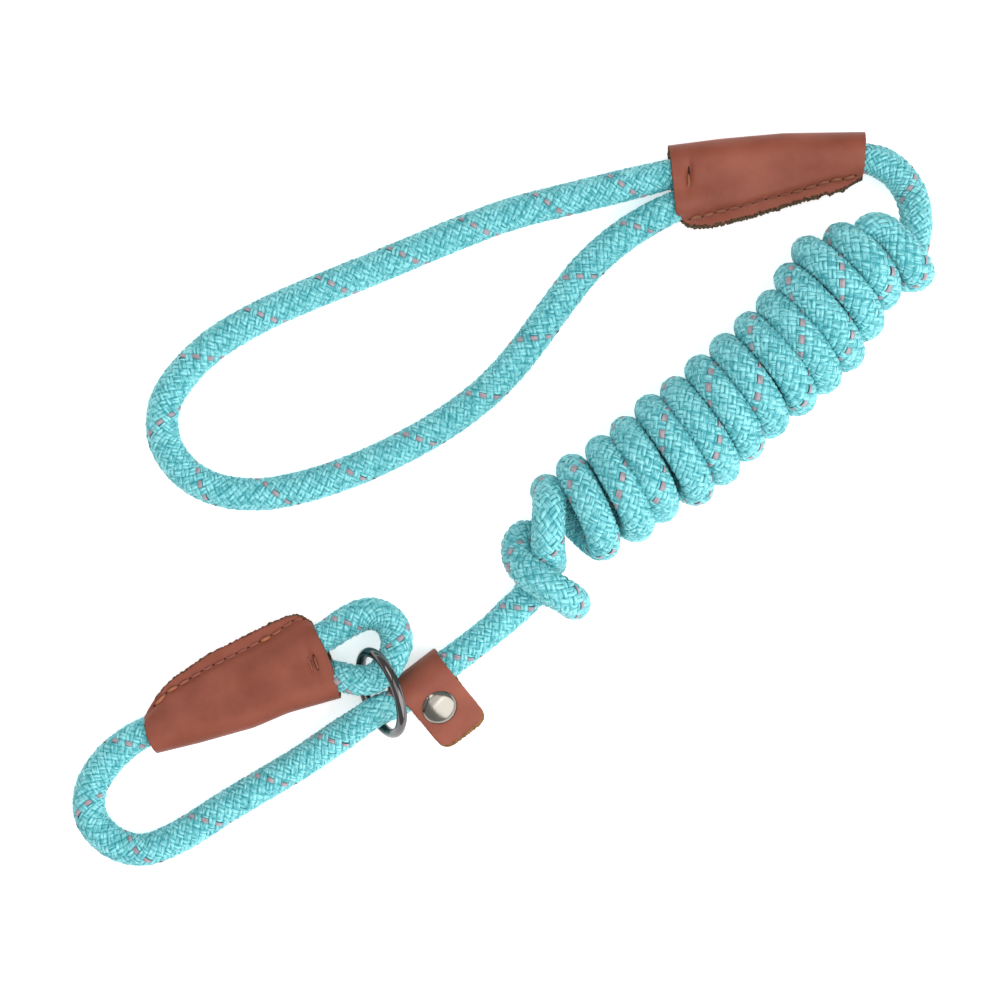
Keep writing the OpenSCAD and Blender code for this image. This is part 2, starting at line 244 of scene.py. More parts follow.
EYE = [
    (-.0495, -.0516, .0064, .009), (-.0467, -.0522, .0086, .009), (-.0435, -.0527, .0106, .009),
    (-.039, -.0527, .0115, .009), (-.035, -.0504, .0115, .009), (-.0323, -.0464, .0113, .009),
    (-.031, -.041, .0098, .01), (-.0334, -.0356, .0084, .01), (-.0384, -.0334, .0073, .01),
    (-.0442, -.0351, .0066, .01), (-.0535, -.041, .0061, .009)]
NOOSE_TAIL = [
    (-.062, -.0453, .0061, .009), (-.072, -.0503, .0061, .0074), (-.082, -.0555, .0061, .004)]

# The wound part lies along this line. Each turn has one bend on the far side and one on the near
# side, at these distances along the line and to the side of it.
COIL_FROM = np.array([.0055, -.0226])
COIL_ALONG = np.array([.751, .660])
COIL_ACROSS = np.array([.660, -.751])
COIL_Z = .0161
COIL_RISE = .0112
FAR_BENDS = [
    (.1425, -.008), (.1340, -.0127), (.1245, -.016), (.1155, -.0135), (.1065, -.011),
    (.0975, -.0105), (.088, -.0105), (.0785, -.0105), (.069, -.0105), (.06, -.0115),
    (.0505, -.0115), (.0415, -.012), (.0315, -.0135), (.022, -.014)]
NEAR_BENDS = [
    (.1445, .0095), (.1325, .007), (.1235, .0105), (.1135, .0135), (.104, .014),
    (.0945, .014), (.084, .0135), (.0745, .014), (.0645, .0145), (.055, .014),
    (.044, .011), (.035, .0105), (.024, .008)]
HALF_TURN_STEP = .0048
HALF_TURN_POINTS = 8
BOWS = (.0015, .0017, .0012) + (.0007,) * 11

# Where the wound part starts, under its first turn, and where it ends: there it is locked by
# passing round itself.
COIL_START = [
    (.1196, .0735, .0135), (.1166, .0709, .0148), (.1126, .0701, .0152), (.1089, .0715, .0153),
    (.1063, .0741, .0160), (.1055, .0766, .0180), (.1063, .0779, .0203), (.1086, .0780, .0216),
    (.1114, .0761, .0222), (.1141, .0731, .0228), (.1166, .0701, .0226), (.1190, .0674, .0200)]
COIL_END = [
    (.0134, .0004, .0225), (.013, -.0039, .0265), (.013, -.0087, .0265), (.0129, -.0134, .0225),
    (.0134, -.017, .0158), (.0135, -.0181, .0102), (.0128, -.017, .0062), (.0118, -.0146, .005),
    (.01, -.0122, .0055), (.0076, -.0108, .008), (.0052, -.0118, .0115), (.0042, -.015, .015),
    (.005, -.0184, .019), (.0075, -.0211, .0225), (.0109, -.0234, .0245), (.0152, -.0261, .0245),
    (.0187, -.0284, .0215), (.0205, -.0299, .0155), (.0199, -.0298, .0095), (.0173, -.0283, .006),
    (.0138, -.0266, .005), (.0103, -.0263, .005), (.0068, -.0284, .005)]


def half_turn(a, b, sign, bow):
    """Points from bend a to bend b, over the top (sign 1) or underneath (sign -1), without b.
    The turn bows that far out along the winding on top and back underneath."""
    out = []
    for k in range(HALF_TURN_POINTS):
        angle = math.pi * k / HALF_TURN_POINTS
        swing = (1 - math.cos(angle)) / 2
        along = (a[0] - HALF_TURN_STEP * angle / math.pi
                 + (b[0] - a[0] + HALF_TURN_STEP) * swing + sign * bow * math.sin(angle))
        across = a[1] + (b[1] - a[1]) * swing
        x, y = COIL_FROM + along * COIL_ALONG + across * COIL_ACROSS
        out.append((x, y, COIL_Z + sign * COIL_RISE * math.sin(angle)))
    return out


def coil_points():
    """The wound part, from its start under the first turn to the end of the lock turn."""
    points = list(COIL_START)
    for k, near in enumerate(NEAR_BENDS):
        if k:
            points += half_turn(FAR_BENDS[k], near, 1, BOWS[k])
        points += half_turn(near, FAR_BENDS[k + 1], -1, BOWS[k + 1])
    along, across = FAR_BENDS[-1]
    x, y = COIL_FROM + along * COIL_ALONG + across * COIL_ACROSS
    return points + [(x, y, COIL_Z)] + COIL_END


def between(s, lo, hi, first, second):
    """What is first at lo and second at hi, at s."""
    return (hi - s) / (hi - lo) * first + (s - lo) / (hi - lo) * second


def spline(points, spacing, cuts=24):
    """Centripetal Catmull-Rom curve through rows of x, y, z and any further values, resampled
    to an even spacing."""
    p = np.asarray(points, float)
    p = np.vstack([2 * p[0] - p[1], p, 2 * p[-1] - p[-2]])
    out = []
    for k in range(1, len(p) - 2):
        q = p[k - 1:k + 3]
        knots = np.sqrt(np.linalg.norm(np.diff(q[:, :3], axis=0), axis=1))
        t = np.concatenate([[0], np.cumsum(knots)])
        s = np.linspace(t[1], t[2], cuts, endpoint=False)[:, None]
        a = [between(s, t[i], t[i + 1], q[i], q[i + 1]) for i in range(3)]
        b = [between(s, t[i], t[i + 2], a[i], a[i + 1]) for i in range(2)]
        out.append(between(s, t[1], t[2], b[0], b[1]))
    out = np.vstack(out + [p[-2][None]])
    run = run_of(out[:, :3])
    even = np.linspace(0, run[-1], max(2, int(round(run[-1] / spacing)) + 1))
    return np.column_stack([np.interp(even, run, out[:, c]) for c in range(out.shape[1])])


class Rope:
    """The whole rope as one centreline, with the frame, diameter and squash its braid lies on.
    step is the centreline's spacing and passes how often it is smoothed; lead is the length in
    which one of the strands of either hand goes round; bulge is how much of what a squash takes
    off one way comes out the other way."""

    step = .0005
    passes = 14
    lead = .0224
    strands = 8
    bulge = .7

    def __init__(self, rows):
        r = spline(rows, self.step)
        relax(r[:, :3], self.passes)
        self.p, self.d, self.press = r[:, :3], r[:, 3], r[:, 4]
        self.run = run_of(self.p)
        self.length = self.run[-1]
        self.t = unit(np.gradient(self.p, axis=0))
        up = np.array([0, 0, 1.0])
        self.n = np.empty_like(self.p)
        v = unit(up - self.t[0] * (up @ self.t[0]))
        for i in range(len(self.p)):
            v = v - self.t[i] * (v @ self.t[i])
            v /= np.linalg.norm(v)
            self.n[i] = v
        self.b = np.cross(self.t, self.n)
        along = np.array([*COIL_ALONG, 0.0])
        self.side = unit(along - self.t * (self.t @ along)[:, None])

    def at(self, values, s):
        """Values of the centreline's points, read at distances s along it."""
        i = np.clip(s / self.length * (len(self.run) - 1), 0, len(self.run) - 1.001)
        k = i.astype(int)
        f = (i - k)[..., None] if values.ndim > 1 else i - k
        return values[k] * (1 - f) + values[k + 1] * f

    def place(self, angle, s, depth):
        """The point at that angle round the rope, distance s along it, depth under its surface."""
        n, b = self.at(self.n, s), self.at(self.b, s)
        off = np.cos(angle)[..., None] * n + np.sin(angle)[..., None] * b
        off = off * (self.at(self.d, s) / 2 - depth)[..., None]
        side = self.at(self.side, s)
        other = unit(np.cross(self.at(self.t, s), side))
        press = self.at(self.press, s)[..., None]
        off = off - side * press * (off * side).sum(-1, keepdims=True)
        off = off + other * press * self.bulge * (off * other).sum(-1, keepdims=True)
        return self.at(self.p, s) + off

    def nearest(self, row):
        """How far along the rope it passes a row's point."""
        return self.run[np.argmin(np.linalg.norm(self.p - np.array(row[:3]), axis=1))]


# A float is two yarns side by side. These are its places along and across the strand, in strand
# widths, and how far each lies below the rope's outside. The tracer strand is one flat tape
# beside one thin teal yarn. Each yarn takes up three of the float's columns of faces.
ALONG = np.array([-1.22, -.98, -.56, 0, .56, .98, 1.22]) / 2
ALONG_DROP = .00014 * (ALONG * 2) ** 2 + .00024 * (ALONG * 2) ** 8
PAIR = np.array([-.495, -.44, -.235, -.015, .015, .235, .44, .495])
PAIR_DROP = np.array([.00052, .0002, 0, .00024, .00024, 0, .0002, .00052])
TAPE = np.array([-.495, -.44, -.2, .1, .19, .31, .44, .495])
TAPE_DROP = np.array([.00052, .00014, .00004, .0001, .0003, .0001, .0002, .00052])
FIRST_YARN, SECOND_YARN = (0, 1, 2), (4, 5, 6)
UNEVEN = .00005
UV_STEP, UV_SIDE = .37, 1.3


def braid(rope, name, s0, s1):
    """Braided cover from s0 to s1: one raised float for every place where a strand passes over
    another. Strands of both hands cross one over, one under. One right-handed one is the tracer."""
    n, lead = rope.strands, rope.lead
    m = np.arange(math.ceil(s0 * 2 * n / lead), math.ceil(s1 * 2 * n / lead))
    m, k = pairs(m, np.arange(2 * n))
    keep = (m + k) % 2 == 0
    m, k = m[keep], k[keep]
    right = k % 2 == 0
    tracer = right & (((k - m) // 2) % n == 0)
    cols = len(PAIR)
    quads = np.arange(len(ALONG) - 1)[:, None] * cols + np.array([0, cols, cols + 1, 1])
    jitter = rng.normal(0, UNEVEN, (len(m), 2))
    made = {"": [], "_tracer": []}
    for want, across, dips, yarns in (
            (~tracer, PAIR, PAIR_DROP, {"": FIRST_YARN + SECOND_YARN}),
            (tracer, TAPE, TAPE_DROP, {"": SECOND_YARN, "_tracer": FIRST_YARN})):
        u, v = np.meshgrid(ALONG, across, indexing="ij")
        mm, kk = m[want, None, None], k[want, None, None]
        angle = math.pi * (kk + u + v) / n
        s = lead * (mm + np.where(right[want, None, None], u - v, v - u)) / (2 * n)
        sink = np.where(np.arange(cols) < cols / 2, jitter[want, :1, None], jitter[want, 1:, None])
        drop = ALONG_DROP[:, None] + dips[None, :] + sink
        points = rope.place(angle, np.clip(s, 0, rope.length), drop).reshape(-1, 3)
        uv = np.stack([np.broadcast_to(u, s.shape) + mm * UV_STEP,
                       np.broadcast_to(v, s.shape) * 2 + kk * UV_SIDE], -1).reshape(-1, 2)
        start = (np.arange(len(mm)) * u.size)[:, None, None]
        flip = right[want]
        for part, columns in yarns.items():
            f = np.array([start + quads + col for col in columns])
            f[:, flip] = f[:, flip][..., ::-1]
            made[part].append((points, uv, f.reshape(-1, 4)))
    objects = []
    for part, blocks in made.items():
        base, faces = 0, []
        for points, _, f in blocks:
            faces.append(f + base)
            base += len(points)
        faces = np.concatenate(faces)
        verts, uvs = (np.concatenate([block[i] for block in blocks]) for i in (0, 1))
        used, index = np.unique(faces, return_inverse=True)
        objects.append(new_object(name + part, verts[used], index.reshape(faces.shape),
                                  TRACER if part else TEAL, uvs[used]))
    return objects


def shade_core(rope, name, s0, s1):
    """The dark tube under the braid, seen between the yarns: its darker teal is painted shade in the
    gaps.
    """
    sides, spacing, depth = 18, .0011, .00062
    s = np.linspace(s0, s1, int((s1 - s0) / spacing) + 2)
    angle, s = np.broadcast_arrays(np.arange(sides) * 2 * math.pi / sides, s[:, None])
    points = rope.place(angle, s, np.full(s.shape, depth)).reshape(-1, 3)
    return new_object(name + "_shade_core", points, tube_faces(len(s), sides), SHADE_CORE)


# Diameters in the scene: of free rope, which is 10 mm in CAD, and of the wound part. Rope that
# the CAD has thinner, in and near a sleeve, is drawn that little thicker.
FREE, COILED = .0098, .0102
THINNER, THICKER = .0095, .0001
COIL_PRESS = .03


def loose(points):
    """Rows of x, y, z, diameter and squash for rope that isn't wound."""
    return [(x, y, z, min(d, FREE) if d > THINNER else d + THICKER, 0.0) for x, y, z, d in points]


wound = [(*point, COILED, COIL_PRESS) for point in coil_points()]
rope = Rope(loose(HANDLE_TAIL + HANDLE_LOOP + HANDLE_THROUGH + LEAD_IN) + wound
            + loose(LEAD_OUT + NOOSE + NOOSE_THROUGH + EYE + NOOSE_TAIL))
s_hand = rope.nearest(HANDLE_LOOP[-1])
s_in = rope.nearest(LEAD_IN[-1])
s_out = rope.nearest(LEAD_OUT[0])
third = (s_out - s_in) / 3
STRETCHES = [
    ("rope_hand", 0, s_hand, "loose", ("rope_handle_tail", "rope_handle_loop")),
    ("rope_start", s_hand, s_in, "loose", ("rope_handle_through", "rope_lead_in")),
    ("rope_coil_upper", s_in, s_in + third, "coiled", ("rope_coil",)),
    ("rope_coil_middle", s_in + third, s_in + 2 * third, "coiled", ("rope_coil",)),
    ("rope_coil_lower", s_in + 2 * third, s_out, "coiled", ("rope_coil",)),
    ("rope_neck", s_out, rope.length, "loose",
     ("rope_lead_out", "rope_noose", "rope_noose_through", "rope_eye", "rope_noose_tail"))]
CORE_IN = .0004
for name, s0, s1, lay, stands_for in STRETCHES:
    body, tracer = braid(rope, name, s0, s1)
    inner = shade_core(rope, name, max(s0, CORE_IN), min(s1, rope.length - CORE_IN))
    for piece in (body, tracer, inner):
        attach(piece, "lead")
    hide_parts(*stands_for)
    print("cord", name, round(s1 - s0, 4), "m")
print("rope", round(rope.length, 4), "m")
# ---- leather and thread materials ----

def leather_material(name, low, high):
    m = Material(name, Sheen_Weight=.04, Sheen_Roughness=.5, Specular_IOR_Level=.28)
    place = m.coords()
    cloud = m.noise(place, 75, 3, .55)
    m.link(m.ramp(cloud, (.3, low), (.72, high)), "Base Color")
    m.link(m.map_range(m.noise(place, 160, 2), To_Min=.46, To_Max=.6), "Roughness")
    pores = m.node("ShaderNodeTexVoronoi", {"Vector": place}, Scale=2600)
    grain = m.bump(pores.outputs["Distance"], .00005, .35)
    m.link(m.bump(m.noise(place, 420, 3, .6), .00014, .4, normal=grain), "Normal")
    return m.mat


def raw_material(name, low, high):
    """A cut edge: rough and mottled."""
    m = Material(name, Roughness=.95)
    place = m.coords()
    m.link(m.ramp(m.noise(place, 900, 4, .7), (.35, low), (.66, high)), "Base Color")
    m.link(m.bump(m.noise(place, 2400, 3, .7), .0003, .9), "Normal")
    return m.mat


def thread_material(name, *stops):
    """Waxed thread. Its colour follows the place along X, as stops of (x in metres, colour)."""
    m = Material(name, Roughness=.6)
    where = m.node("ShaderNodeSeparateXYZ",
                   {"Vector": m.node("ShaderNodeTexCoord").outputs["Object"]})
    lo, hi = stops[0][0], stops[-1][0]
    along = m.map_range(where.outputs["X"], From_Min=lo, From_Max=hi)
    m.link(m.ramp(along, *[((x - lo) / (hi - lo), colour) for x, colour in stops]), "Base Color")
    twist = m.node("ShaderNodeTexWave", {"Vector": m.coords()}, Scale=900, Distortion=1.5)
    m.link(m.bump(twist.outputs["Fac"], .00012, .6), "Normal")
    return m.mat


LEATHER = leather_material("leather", srgb(127, 63, 45), srgb(147, 79, 60))
RAW = raw_material("raw_leather_edge", srgb(62, 47, 35), srgb(118, 94, 70))
RAW_TAN = raw_material("raw_strap_edge", srgb(100, 66, 38), srgb(160, 114, 68))
HANDLE_THREAD = thread_material(
    "handle_thread", (.04, srgb(158, 100, 68)), (.076, srgb(124, 66, 46)),
    (.12, srgb(146, 92, 62)))
NOOSE_THREAD = thread_material(
    "noose_thread", (-.102, srgb(176, 108, 68)), (-.094, srgb(160, 92, 66)),
    (-.088, srgb(150, 88, 76)), (-.074, srgb(150, 88, 76)), (-.070, srgb(178, 108, 66)),
    (-.064, srgb(150, 88, 68)), (-.05, srgb(140, 78, 56)))
# The needle holes and the bar tacks' slits are dark tubes: painted shade where the thread goes into
# the leather.
HOLE_SHADE = Material("thread_hole_shade", Base_Color=srgb(52, 24, 16), Roughness=1).mat


# ---- leather sleeves ----

LEATHER_T = .0012
MID_Z = .0061
# The sewn lip's height over the middle plane, the fold's radius, the length of a mouth as a part
# of the sleeve's, and how near a strand has to pass to count at a station.
LIP_Z = .0013
FOLD_R = .0059
MOUTH = .05
NEAR = .0012
# The leather lies mostly taut from one hump to the next, and sags at most so far between them.
SLACK, SAG = .2, .0011
# The seam runs this far outside the lip's inner line, and its thread pulls the leather in.
SEAM_OUT = .0004
SEAM_SINK, SEAM_WIDE = .00035, .0008
# How soft the humps are, in cells across and as the stations' share along. The fold keeps its
# shape for so far, blended in over so much more. Wrinkles fade out towards it.
SOFT_CELLS, SOFT_SHARE = 2.2, 60
FOLD_KEPT, FOLD_BLEND = .0026, .0018
FOLD_OPEN = .003
WRINKLE_FADE = .004
# A mouth's bow reaches so far along t. Its rim is uneven by FRAY, and flush but for FLESH_OUT.
BOW_REACH = .13
FRAY, FLESH_OUT = .00009, .00015
# Its layers stay this far apart, and it stays this far off the floor.
APART, OFF_FLOOR = .00004, .00005


def edge_at(edge, t):
    """Points at the shares t of the way along an edge given by a few points."""
    edge = np.array(edge)
    x = edge[0, 0] + t * (edge[-1, 0] - edge[0, 0])
    return np.stack([x, np.interp(x, edge[:, 0], edge[:, 1])], -1)


def blur(grid, across, along):
    """Soften a height grid by two widths, counted in cells."""
    for axis, width in ((1, across), (0, along)):
        reach = int(3 * width) + 1
        k = np.exp(-.5 * (np.arange(-reach, reach + 1) / width) ** 2)
        k /= k.sum()
        pad = [(0, 0), (0, 0)]
        pad[axis] = (reach, reach)
        wide = np.pad(grid, pad, mode="edge")
        grid = np.apply_along_axis(lambda r: np.convolve(r, k, "valid"), axis, wide)
    return grid


def hull_over(v, z):
    """The taut line over the points (v, z), read back at each v."""
    keep = []
    for i in range(len(v)):
        while len(keep) > 1 and (z[keep[-1]] - z[keep[-2]]) * (v[i] - v[keep[-2]]) <= (
                z[i] - z[keep[-2]]) * (v[keep[-1]] - v[keep[-2]]):
            keep.pop()
        keep.append(i)
    return np.interp(v, v[keep], z[keep])


def leather_sheet(name, outer, inner, turned, raw):
    """Leather between two grids of points, its faces turned over if asked. All of it but the
    outer skin has the raw material."""
    rows, cols = outer.shape[:2]
    base = rows * cols
    r, c = pairs(np.arange(rows - 1), np.arange(cols - 1))
    q = r * cols + c
    skin = np.stack([q, q + cols, q + cols + 1, q + 1], 1)
    if turned:
        skin = skin[:, [0, 3, 2, 1]]

    def rim(q, step, back):
        f = np.stack([q, q + step, q + step + base, q + base], 1)
        return f[:, ::-1] if back != turned else f

    end, side = np.arange(cols - 1), np.arange(rows - 1) * cols
    faces = np.concatenate([
        skin, skin[:, ::-1] + base, rim(end, 1, False), rim(base - cols + end, 1, True),
        rim(side, cols, True), rim(side + cols - 1, cols, False)])
    verts = np.concatenate([outer.reshape(-1, 3), inner.reshape(-1, 3)])
    obj = new_object(name, verts, faces, LEATHER)
    obj.data.materials.append(raw)
    slots = np.ones(len(faces), np.int32)
    slots[:len(skin)] = 0
    obj.data.polygons.foreach_set("material_index", slots)
    return obj


class Sleeve:
    """One piece of leather folded over rope strands and sewn along its raw edges.
    v is the distance in from the raw edge towards the fold, t runs 0 to 1 from mouth to mouth.
    seam is the width of the flat lip along t; step_out is how far its upper layer stands past
    the lower, fuzz how ragged both are, and bows how far each mouth's middle stands out."""

    cells = 90

    def __init__(self, raw, fold, seam, strands, stations, wrinkles, step_out, fuzz, bows=(0, 0)):
        self.t = np.linspace(0, 1, stations)
        self.a, b = edge_at(raw, self.t), edge_at(fold, self.t)
        for edge in (self.a, b):
            relax(edge, stations // 9)
        self.w = np.linalg.norm(b - self.a, axis=1)
        self.across = (b - self.a) / self.w[:, None]
        self.normal = np.stack([-self.across[:, 1], self.across[:, 0]], -1)
        self.lip = np.interp(self.t, *np.array(seam).T)
        relax(self.lip, stations // 4)
        self.step_out, self.fuzz = step_out, fuzz
        middle = unit(np.gradient(self.a + b, axis=0))
        reach = [np.clip(1 - d / BOW_REACH, 0, 1) ** 2 for d in (self.t, 1 - self.t)]
        self.bow = middle * (bows[1] * reach[1] - bows[0] * reach[0])[:, None]
        self.grid = np.linspace(0, 1, self.cells)
        v = self.grid[None] * self.w[:, None]
        height = np.array([self.section(i, v[i], strands) for i in range(stations)])
        soft = blur(height, SOFT_CELLS, stations / SOFT_SHARE)
        edge = np.clip((v - (self.w[:, None] - FOLD_KEPT)) / FOLD_BLEND, 0, 1)
        self.h = soft * (1 - edge) + height * edge
        seam = (v - (self.lip[:, None] - SEAM_OUT)) / SEAM_WIDE
        self.h -= SEAM_SINK * np.exp(-seam ** 2)
        place = self.a[:, None] + self.across[:, None] * v[..., None]
        fade = np.clip((self.w[:, None] - v) / WRINKLE_FADE, 0, 1)
        self.h += wrinkles(place[..., 0], place[..., 1]) * fade

    def section(self, i, v, strands):
        """Height of the outer face at station i, over the fold and the strands that pass it."""
        discs = [(self.w[i] - FOLD_R, 0.0, FOLD_R)]
        for lo, hi in strands:
            s = np.linspace(lo, hi, 240)
            p = rope.at(rope.p, s)
            off = np.abs((p[:, :2] - self.a[i]) @ self.normal[i])
            k = np.argmin(off)
            if off[k] < NEAR:
                r = rope.at(rope.d, s[k]) / 2 + LEATHER_T
                discs.append(((p[k, :2] - self.a[i]) @ self.across[i], p[k, 2] - MID_Z, r))
        over = np.zeros(self.cells)
        for c, z, r in discs:
            inside = r * r - (v - c) ** 2
            hump = z + np.sqrt(np.maximum(inside, 0))
            over = np.where(inside > 0, np.maximum(over, hump), over)
        flat = v <= self.lip[i] * np.clip(min(self.t[i], 1 - self.t[i]) / MOUTH, 0, 1)
        over[flat] = LIP_Z
        held = np.where(v > self.w[i] - FOLD_OPEN, over, LIP_Z)
        taut = hull_over(v, np.maximum(over, held))
        height = taut * (1 - SLACK) + np.maximum(over, taut - SAG) * SLACK
        height[flat] = LIP_Z
        return height

    def top(self, t, v):
        """Height of the outer face above the middle plane at station t, v from the raw edge."""
        i = np.clip(t * (len(self.t) - 1), 0, len(self.t) - 1.001)
        k = int(i)
        f = i - k
        g = np.clip(v / self.w[k] * (self.cells - 1), 0, self.cells - 1)
        here, after = (np.interp(g, np.arange(self.cells), self.h[j]) for j in (k, k + 1))
        return (1 - f) * here + f * after

    def point(self, t, v, lift=0.0):
        """Point of the outer face, or one lifted off it."""
        a = np.array([np.interp(t, self.t, self.a[:, c]) for c in range(2)])
        u = np.array([np.interp(t, self.t, self.across[:, c]) for c in range(2)])
        return np.array([*(a + u * v), MID_Z + self.top(t, v) + lift])

    def above(self, x, y, lift=0.0):
        """Point of the upper face above (x, y), or one lifted off it."""
        place = np.array([x, y]) - self.a
        k = int(np.argmin(np.abs((place * self.normal).sum(1))))
        return self.point(self.t[k], float(place[k] @ self.across[k]), lift)

    def build(self, name, stands_for):
        """The leather: each station's outer line goes over the top from the raw edge to the
        fold and back underneath, and the inner line lies one thickness inside it."""
        steps = 62
        half = steps - 1
        rounding = np.sin(np.linspace(0, 1, steps) * math.pi / 2)
        outer, inner = [], []
        rough = np.random.default_rng(len(name))
        ragged = blur(rough.normal(0, 1, (len(self.t), 2)), .01, .8) * self.fuzz
        for i, w in enumerate(self.w):
            v_top = (self.step_out + ragged[i, 0]) * (1 - rounding) + w * rounding
            v_low = ragged[i, 1] * (1 - rounding) + w * rounding
            z_top = np.interp(v_top, self.grid * w, self.h[i])
            z_low = -np.interp(v_low, self.grid * w, self.h[i])
            z_top[-1] = z_low[-1] = 0
            skin = np.stack([np.concatenate([v_top, v_low[-2::-1]]),
                             np.concatenate([z_top, z_low[-2::-1]])], -1)
            d = np.gradient(skin, axis=0)
            flesh = skin - unit(np.stack([-d[:, 1], d[:, 0]], -1)) * LEATHER_T
            flesh[:half, 1] = np.maximum(flesh[:half, 1], APART)
            flesh[half + 1:, 1] = np.minimum(flesh[half + 1:, 1], -APART)
            flesh[:, 0] = np.minimum(flesh[:, 0], w - LEATHER_T)
            for line, out in ((skin, outer), (flesh, inner)):
                swell = np.sin(math.pi * np.clip(line[:, :1] / w, 0, 1)) ** .8
                place = self.a[i] + self.across[i] * line[:, :1] + self.bow[i] * swell
                out.append(np.column_stack([place, np.maximum(MID_Z + line[:, 1], OFF_FLOOR)]))
        outer, inner = np.array(outer), np.array(inner)
        along = unit(np.gradient(outer, axis=0))
        for k, sign in ((0, -1), (-1, 1)):
            fray = rough.normal(0, FRAY, outer.shape[1])[:, None]
            outer[k] += along[k] * fray
            inner[k] += along[k] * (fray + sign * FLESH_OUT)
        obj = leather_sheet(name, outer, inner, False, RAW)
        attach(obj, "lead")
        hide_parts(stands_for)


def tube_mesh(paths, radii, sides=10):
    """Closed round tubes along several paths, as one vertex list and one face list."""
    verts, faces = [], []
    ref = np.array([.31, .17, .93])
    for path, radius in zip(paths, radii):
        path = np.asarray(path, float)
        radius = np.broadcast_to(radius, len(path))
        t = unit(np.gradient(path, axis=0))
        faces += tube_faces(len(path), sides, len(verts))
        for i in range(len(path)):
            side = unit(np.cross(t[i], ref))
            up = np.cross(side, t[i])
            for k in range(sides):
                a = 2 * math.pi * k / sides
                verts.append(path[i] + radius[i] * (math.cos(a) * side + math.sin(a) * up))
    return verts, faces


# ---- sewing ----

# How a float of thread is drawn: its number of points, how far its middle stands off the leather
# in widths, how deep its ends sink, and its thickness from the ends to the middle.
SEAM = {"points": 9, "lift": .5, "sink": .0006, "ends": .55, "more": .45, "power": .6}
TACK = {"points": 11, "lift": .35, "sink": .0008, "ends": .5, "more": .5, "power": .7}
HOLE_R, HOLE_OUT, HOLE_IN = .00042, .00008, .0005


def stitch(place, width, low, points, lift, sink, ends, more, power):
    """One float of thread, as its path and radii. place(f, hump, lift) is its point the share f
    of the way along, lifted off the upper face; low puts it on the lower face instead."""
    path, radii = [], []
    for j in range(points):
        f = j / (points - 1)
        hump = math.sin(math.pi * f)
        p = place(f, hump, width * lift * hump ** .5 - sink * (1 - hump) ** 2)
        if low:
            p[2] = max(2 * MID_Z - p[2], width * .6)
        path.append(p)
        radii.append(width / 2 * (ends + more * hump ** power))
    return path, radii


def sewn(name, thread, dark, pits, material, stands_for):
    """The thread, and the holes or slits it lies in, each from its paths and their radii. The holes
    and slits are dark tubes of painted shade.
    """
    stitches = new_object(name, *tube_mesh(*thread), material)
    hollows = new_object(name + dark, *tube_mesh(*pits, 12), HOLE_SHADE)
    for obj in (stitches, hollows):
        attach(obj, "lead")
    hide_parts(stands_for)


def seam_stitches(sleeve, name, t0, t1, count, width, stands_for, material):
    """Lockstitch floats along the lip on both faces, each dipping into a needle hole at its
    ends. width gives a float's thickness from its place along the seam, 0 to 1."""
    ts = t0 + (t1 - t0) * np.arange(count + 1) / count
    floats, holes = [], []
    for k in range(count):
        for side in (1, -1):
            def place(f, hump, lift):
                t = ts[k] + (ts[k + 1] - ts[k]) * (.06 + .88 * f)
                wander = .00012 * math.sin(5.1 * k + side) * hump
                v = np.interp(t, sleeve.t, sleeve.lip) - SEAM_OUT + wander
                return sleeve.point(t, v, lift)

            floats.append(stitch(place, width(k / (count - 1)), side < 0, **SEAM))
    for t in ts:
        p = sleeve.point(t, np.interp(t, sleeve.t, sleeve.lip) - SEAM_OUT)
        holes.append([p + (0, 0, HOLE_OUT), p - (0, 0, HOLE_IN)])
    sewn(name, zip(*floats), "_holes", (holes, [HOLE_R] * len(holes)), material, stands_for)


def bar_tack(sleeve, name, lines, width, material, stands_for, open_end, slit_w):
    """Short thick stitches sunk into the leather, through both strands, each in a slit drawn as a
    dark tube of painted shade, which goes on past its first end by the share open_end of its length."""
    floats, slits, slit_r = [], [], []
    for (x0, y0), (x1, y1) in lines:
        def place(f, _, lift):
            return sleeve.above(x0 + (x1 - x0) * f, y0 + (y1 - y0) * f, lift)

        floats += [stitch(place, width, low, **TACK) for low in (False, True)]
        ex, ey = x0 + (x0 - x1) * open_end, y0 + (y0 - y1) * open_end
        slits.append([sleeve.above(ex + (x1 - ex) * f, ey + (y1 - ey) * f) - (0, 0, slit_w * .6)
                      for f in np.arange(15) / 14])
        slit_r.append([slit_w * math.sin(math.pi * (j + .4) / 14.8) ** .5 for j in range(15)])
    sewn(name, zip(*floats), "_slit", (slits, slit_r), material, stands_for)


# ---- the two sleeves ----

def dip(x, y, cx, cy, angle, long, short, depth):
    """A shallow dent at (cx, cy), long one way and short the other."""
    u = (x - cx) * math.cos(angle) + (y - cy) * math.sin(angle)
    v = -(x - cx) * math.sin(angle) + (y - cy) * math.cos(angle)
    return -depth * np.exp(-(u / long) ** 2 - (v / short) ** 2)


def handle_wrinkles(x, y):
    """The bar tack's dent, the creases round it, some beside them, and soft unevenness."""
    out = dip(x, y, .0542, .0948, math.pi / 2, .0046, .0011, .0011)
    for k in range(9):
        a = .35 + .17 * k
        out += dip(x, y, .0542 + .0085 * math.cos(a - .6), .0972 - .0065 * math.sin(a), -a,
                   .0042, .00035, .00013)
    for k in range(7):
        out += dip(x, y, .068 + .0012 * k, .0965 - .0023 * k, -.35 + .05 * k,
                   .0055, .0005, .0001)
    return out + .0003 * np.sin(x * 210 + 1.0) * np.sin(y * 260 + .4)


